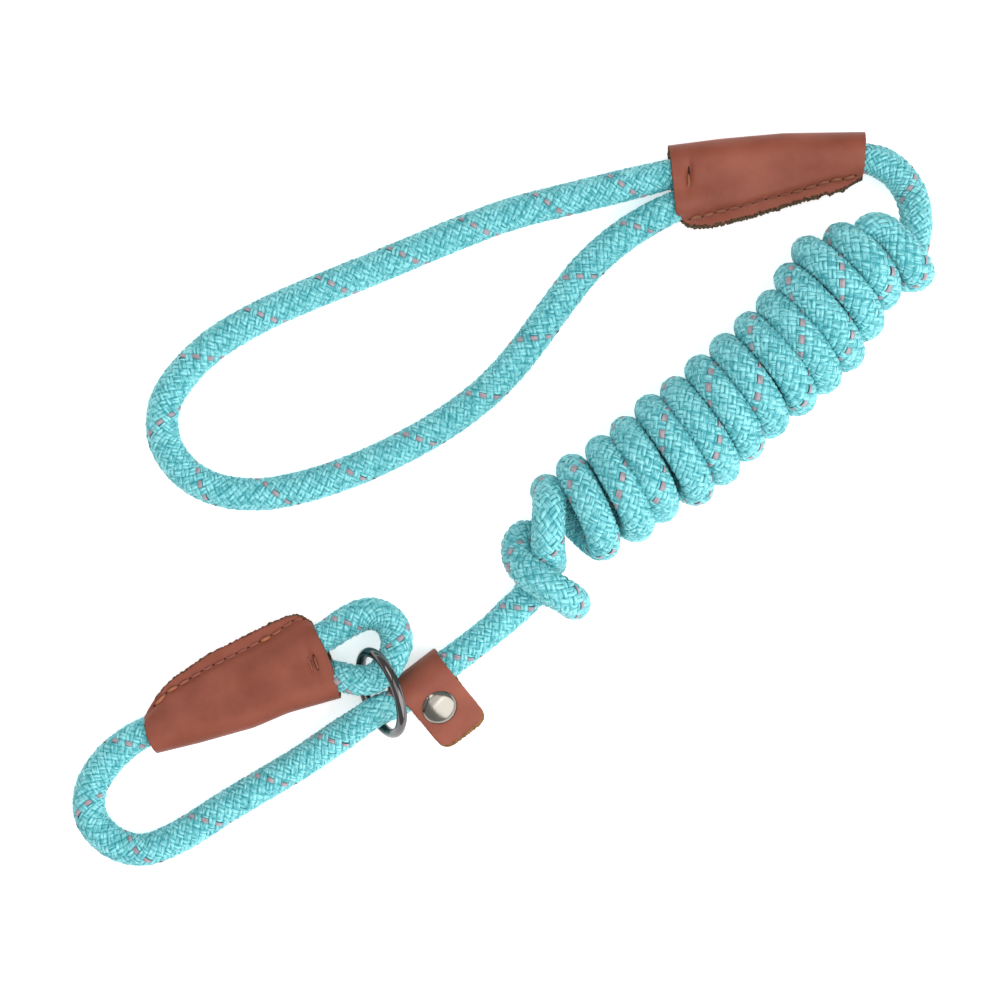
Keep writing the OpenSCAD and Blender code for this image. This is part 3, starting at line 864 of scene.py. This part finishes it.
def noose_wrinkles(x, y):
    """The same, with its creases on two arcs."""
    out = dip(x, y, -.0559, -.0482, math.radians(-70), .0042, .0011, .0009)
    for k in range(11):
        a = -2.6 + .235 * k
        out += dip(x, y, -.0835 + .0078 * math.cos(a), -.0535 + .0052 * math.sin(a), a,
                   .0042, .00034, .00012)
    for k in range(8):
        a = 2.5 + .2 * k
        out += dip(x, y, -.0565 + .0068 * math.cos(a), -.0487 + .0068 * math.sin(a), a,
                   .004, .0003, .0001)
    return out + .0003 * np.sin(x * 190 + .6) * np.sin(y * 230 + 2.2)


handle = Sleeve(
    [(.0505, .083), (.054, .0798), (.06, .0795), (.0705, .082), (.0875, .087), (.1, .0905),
     (.1055, .094)],
    [(.0485, .104), (.064, .106), (.082, .1076), (.106, .108)],
    [(0, .0014), (.09, .0031), (.2, .0046), (.5, .0046), (.66, .0042), (.77, .0044),
     (.86, .0045), (.97, .0028), (1, .002)],
    [(0, rope.nearest(HANDLE_LOOP[1])),
     (rope.nearest(HANDLE_LOOP[-2]), rope.nearest(LEAD_IN[1]))],
    260, handle_wrinkles, step_out=.0009, fuzz=.00036)
handle.build("handle_sleeve_leather", "handle_sleeve")
noose = Sleeve(
    [(-.105, -.063), (-.103, -.0595), (-.0985, -.0535), (-.087, -.0455), (-.073, -.0385),
     (-.0645, -.0345), (-.061, -.0335), (-.0585, -.0343), (-.0563, -.036)],
    [(-.1013, -.0745), (-.089, -.0715), (-.073, -.067), (-.063, -.0627), (-.0478, -.0584)],
    [(0, .0014), (.07, .0023), (.19, .0036), (.39, .0042), (.6, .0043), (.75, .004),
     (.86, .0027), (.92, .0018), (1, .0006)],
    [(rope.nearest(NOOSE[-2]), rope.nearest(EYE[1])), (rope.nearest(EYE[-2]), rope.length)],
    200, noose_wrinkles, step_out=.0003, fuzz=.0002, bows=(.0009, .0017))
noose.build("noose_sleeve_leather", "noose_sleeve")


def handle_thread_width(f):
    return .00095 + .0002 * math.cos(7 * f)


def noose_thread_width(f):
    """Thicker at the seam's start and about three quarters along."""
    return (.00055 + .0006 * math.exp(-(f / .2) ** 2)
            + .0005 * math.exp(-((f - .76) / .07) ** 2))


seam_stitches(handle, "handle_stitches", .08, .96, 13, handle_thread_width,
              "handle_seam_thread", HANDLE_THREAD)
seam_stitches(noose, "noose_stitches", .05, .95, 13, noose_thread_width,
              "noose_seam_thread", NOOSE_THREAD)
bar_tack(handle, "handle_tack", [((.0542, .0956), (.0542, .0908))], .0009, HANDLE_THREAD,
         "handle_bar_tack", open_end=.55, slit_w=.00075)
bar_tack(noose, "noose_tack",
         [((-.0572, -.0456), (-.0556, -.0503)), ((-.0553, -.0452), (-.0537, -.0499))],
         .0006, NOOSE_THREAD, "noose_bar_tack", open_end=.08, slit_w=.0005)


# ---- slip ring ----

def metal(name, colour, rough, scratch=0.0):
    """Plated metal whose polish varies a little; scratch is the depth of fine scratches."""
    m = Material(name, Base_Color=colour, Metallic=1.0)
    place = m.coords()
    tone = m.map_range(m.noise(place, 500, 3), To_Min=rough * .7, To_Max=rough * 1.4)
    m.link(tone, "Roughness")
    if scratch:
        m.link(m.bump(m.noise(place, 1500, 2), scratch, .2), "Normal")
    return m.mat


RING_METAL = metal("dark_nickel", srgb(100, 97, 97), .09)
CAP_METAL = metal("rivet_nickel", srgb(142, 138, 130), .18, scratch=.000006)

RING_AT = np.array([-.0356, -.0563, .01271])
RING_LEAN, RING_TURN = math.radians(64.7), math.radians(18.4)
RING_R, WIRE_R = .0124, .0015
RING_SIDES, WIRE_SIDES = 144, 36


def ring_wire():
    """Circles of wire, each joined to the next and the last to the first."""
    turn = Matrix.Rotation(RING_TURN, 3, "Z") @ Matrix.Rotation(-RING_LEAN, 3, "Y")
    verts, faces = [], []
    for i in range(RING_SIDES):
        a = 2 * math.pi * i / RING_SIDES
        here, after = i * WIRE_SIDES, (i + 1) % RING_SIDES * WIRE_SIDES
        for k in range(WIRE_SIDES):
            c = 2 * math.pi * k / WIRE_SIDES
            r = RING_R + WIRE_R * math.cos(c)
            arm = Vector((r * math.cos(a), r * math.sin(a), WIRE_R * math.sin(c)))
            verts.append(RING_AT + np.array(turn @ arm))
            up = (k + 1) % WIRE_SIDES
            faces.append((here + k, after + k, after + up, here + up))
    return new_object("ring_wire", verts, faces, RING_METAL)


ring = ring_wire()
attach(ring, "ring")
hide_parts("slip_ring")


# ---- stop strap: one strip of leather round the rope, its ends riveted together ----

# Where it is and which way the rope runs there, and its width and thickness. In its section,
# (u, z): where the flap leaves the rope, how steeply it falls, and its length.
STOP_AT = np.array([-.0294, -.0583, .0062])
HEADING = math.radians(37.6)
STOP_W, STOP_T = .0162, .0012
ROOT = np.array([.006, .0021])
SLOPE = math.radians(22)
FLAP_LEN = .0134
DOWN = np.array([math.cos(SLOPE), -math.sin(SLOPE)])
UP = np.array([math.sin(SLOPE), math.cos(SLOPE)])
# The strap's middle line: its radius round the rope, and the two layers of the flap, as the
# distance down the flap and that from the flap's middle.
FOLD_MID_R = .0055
UPPER_LAYER = [(FLAP_LEN + .0005, .00056), (.0105, .00058), (.008, .00062), (.0055, .00066),
               (.003, .00078), (.0008, .0011)]
LOWER_LAYER = [(-.0002, .0007), (.002, .00064), (.0045, .00062), (.008, .00062),
               (.0105, .00062), (FLAP_LEN + .0021, .0006)]
UNDER_ROPE = [(.0047, -.0024), (.0053, -.0006)]
# Its cut corners, and how far its fold stands out towards the ring.
CORNER, CORNER_DEPTH = .0036, .92
FLARE, FLARE_FROM, FLARE_OVER = .0016, .003, .006
# Its columns lie closer together at the sides, and it thins there to a share of its thickness.
# Its sides are unsteady and its ends frayed.
COLS, CROWD = 44, .92
SIDE, SIDE_THIN, SIDE_REST = .0005, .62, .38
UNSTEADY, FRAYED = .00004, .00012
WAVE, WAVE_PACE = .00012, 700


def on_stop(x, u, z):
    """x along the rope, u out to the flap's side and z up, to the shared frame."""
    ca, sa = math.cos(HEADING), math.sin(HEADING)
    return np.stack([STOP_AT[0] + x * ca + u * sa, STOP_AT[1] + x * sa - u * ca,
                     STOP_AT[2] + z], -1)


def strap_line():
    """The middle line of the strap's thickness, from the flap's upper end to its lower one."""
    arc = [(FOLD_MID_R * math.cos(a), FOLD_MID_R * math.sin(a))
           for a in np.radians(np.arange(52, 318, 14))]
    upper = [tuple(ROOT + DOWN * s + UP * h) for s, h in UPPER_LAYER]
    lower = [tuple(ROOT + DOWN * s - UP * h) for s, h in LOWER_LAYER]
    line = spline([(*p, 0) for p in upper + arc + UNDER_ROPE + lower], .00035)[:, :2]
    relax(line, 3)
    return line


def strap():
    line = strap_line()
    run = run_of(line)
    d = unit(np.gradient(line, axis=0))
    n = np.stack([-d[:, 1], d[:, 0]], -1)
    middle = len(line) // 2
    if n[middle] @ line[middle] < 0:
        n = -n
    spread = np.sin(np.linspace(-1, 1, COLS) * math.pi / 2 * CROWD)
    spread /= math.sin(math.pi / 2 * CROWD)
    rough = np.random.default_rng(3)
    outer, inner = [], []
    for i, (u, z) in enumerate(line):
        k = min(min(run[i], run[-1] - run[i]) / CORNER, 1)
        inset = CORNER * CORNER_DEPTH * (1 - math.sqrt(max(1 - (1 - k) ** 2, 0)))
        bow = min(max((FLARE_FROM - u) / FLARE_OVER, 0), 1)
        lo, hi = inset - FLARE * bow * bow * (3 - 2 * bow), STOP_W - inset
        x = lo + (hi - lo) * (spread + 1) / 2 + rough.normal(0, UNSTEADY)
        wave = WAVE * math.sin(run[i] * WAVE_PACE) * (spread ** 2)
        soft = np.minimum(np.minimum(x - lo, hi - x) / SIDE, 1)
        thick = STOP_T / 2 * (SIDE_THIN + SIDE_REST * np.sqrt(np.clip(soft, 0, 1)))
        for out, sign in ((outer, 1), (inner, -1)):
            off = thick * sign
            out.append(on_stop(x + wave * .2, u + n[i, 0] * off, z + n[i, 1] * off))
    fray = rough.normal(0, FRAYED, (2, COLS))
    for k, sign in ((0, -1), (-1, 1)):
        push = on_stop(0, *(d[k] * sign)) - on_stop(0, 0, 0)
        for block in (outer, inner):
            block[k] = block[k] + push * fray[k][:, None]
    obj = leather_sheet("stop_strap_leather", np.array(outer), np.array(inner), True, RAW_TAN)
    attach(obj, "stop")
    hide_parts("stop_strap")


strap()


# ---- rivet ----

RIVET_X = STOP_W / 2 - .0011
RIVET_FOOT = ROOT + DOWN * .0022
CAP_R, CAP_H, CAP_FOOT = .0053, .0022, .00122
SHOULDER_R, SHOULDER_H = .0049, .00195


def spun(name, profile, material, stands_for, sides=72):
    """A solid of revolution on the rivet's axis, from (radius, height off the flap's middle)."""
    verts = []
    for r, h in profile:
        for k in range(sides):
            a = 2 * math.pi * k / sides
            along, out = r * math.cos(a), r * math.sin(a)
            u, z = RIVET_FOOT + DOWN * out + UP * h
            verts.append(on_stop(RIVET_X + along, u, z))
    obj = new_object(name, verts, tube_faces(len(profile), sides), material)
    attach(obj, "stop")
    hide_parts(stands_for)


rim = [(.0045, .00112), (.0049, .00114), (.00522, .00125), (CAP_R, .00145), (.00525, .00168),
       (.00508, .00192)]
dome = [(SHOULDER_R * math.cos(a),
         SHOULDER_H + (CAP_FOOT + CAP_H - SHOULDER_H) * math.sin(a) ** 1.15)
        for a in np.radians(np.arange(12, 90, 6))]
tail = [(.0018, -.0019), (.0023, -.00186), (.0024, -.0017), (.0024, -.0013), (.0013, -.0012),
        (.0013, .0012)]
spun("rivet_dome", rim + dome + [(.00008, CAP_FOOT + CAP_H)], CAP_METAL, "rivet_cap")
spun("rivet_tail", tail, CAP_METAL, "rivet_post", 48)


# ---- floor and light ----

WHITE = (1, 1, 1, 1)
FLOOR = 2
floor_material = Material("floor", Base_Color=srgb(245, 245, 245), Roughness=.6,
                          Emission_Color=WHITE, Emission_Strength=.5)
floor = new_object("floor", [(-FLOOR, -FLOOR, 0), (FLOOR, -FLOOR, 0), (FLOOR, FLOOR, 0),
                             (-FLOOR, FLOOR, 0)], [(0, 1, 2, 3)], floor_material.mat)


def light(name, place, width, watts):
    """A square area light that looks at the origin."""
    data = bpy.data.lights.new(name, "AREA")
    data.shape = "RECTANGLE"
    data.size = data.size_y = width
    data.energy = watts
    obj = bpy.data.objects.new(name, data)
    scene.collection.objects.link(obj)
    obj.location = place
    obj.rotation_euler = (-Vector(place)).to_track_quat("-Z", "Y").to_euler()


light("key", (.75, -.5, .7), 1.3, 14)
light("fill", (-.6, .5, .9), .6, 3)
light("top", (.1, -.1, 1.3), 1.1, 5)

# Soft light from all round, and a white backdrop that only the camera sees
world = bpy.data.worlds.new("studio")
scene.world = world
world.use_nodes = True
nodes, links = world.node_tree.nodes, world.node_tree.links
around, backdrop = nodes["Background"], nodes.new("ShaderNodeBackground")
around.inputs["Strength"].default_value = .42
around.inputs["Color"].default_value = backdrop.inputs["Color"].default_value = WHITE
seen, choose = nodes.new("ShaderNodeLightPath"), nodes.new("ShaderNodeMixShader")
links.new(seen.outputs["Is Camera Ray"], choose.inputs[0])
links.new(around.outputs[0], choose.inputs[1])
links.new(backdrop.outputs[0], choose.inputs[2])
links.new(choose.outputs[0], nodes["World Output"].inputs["Surface"])
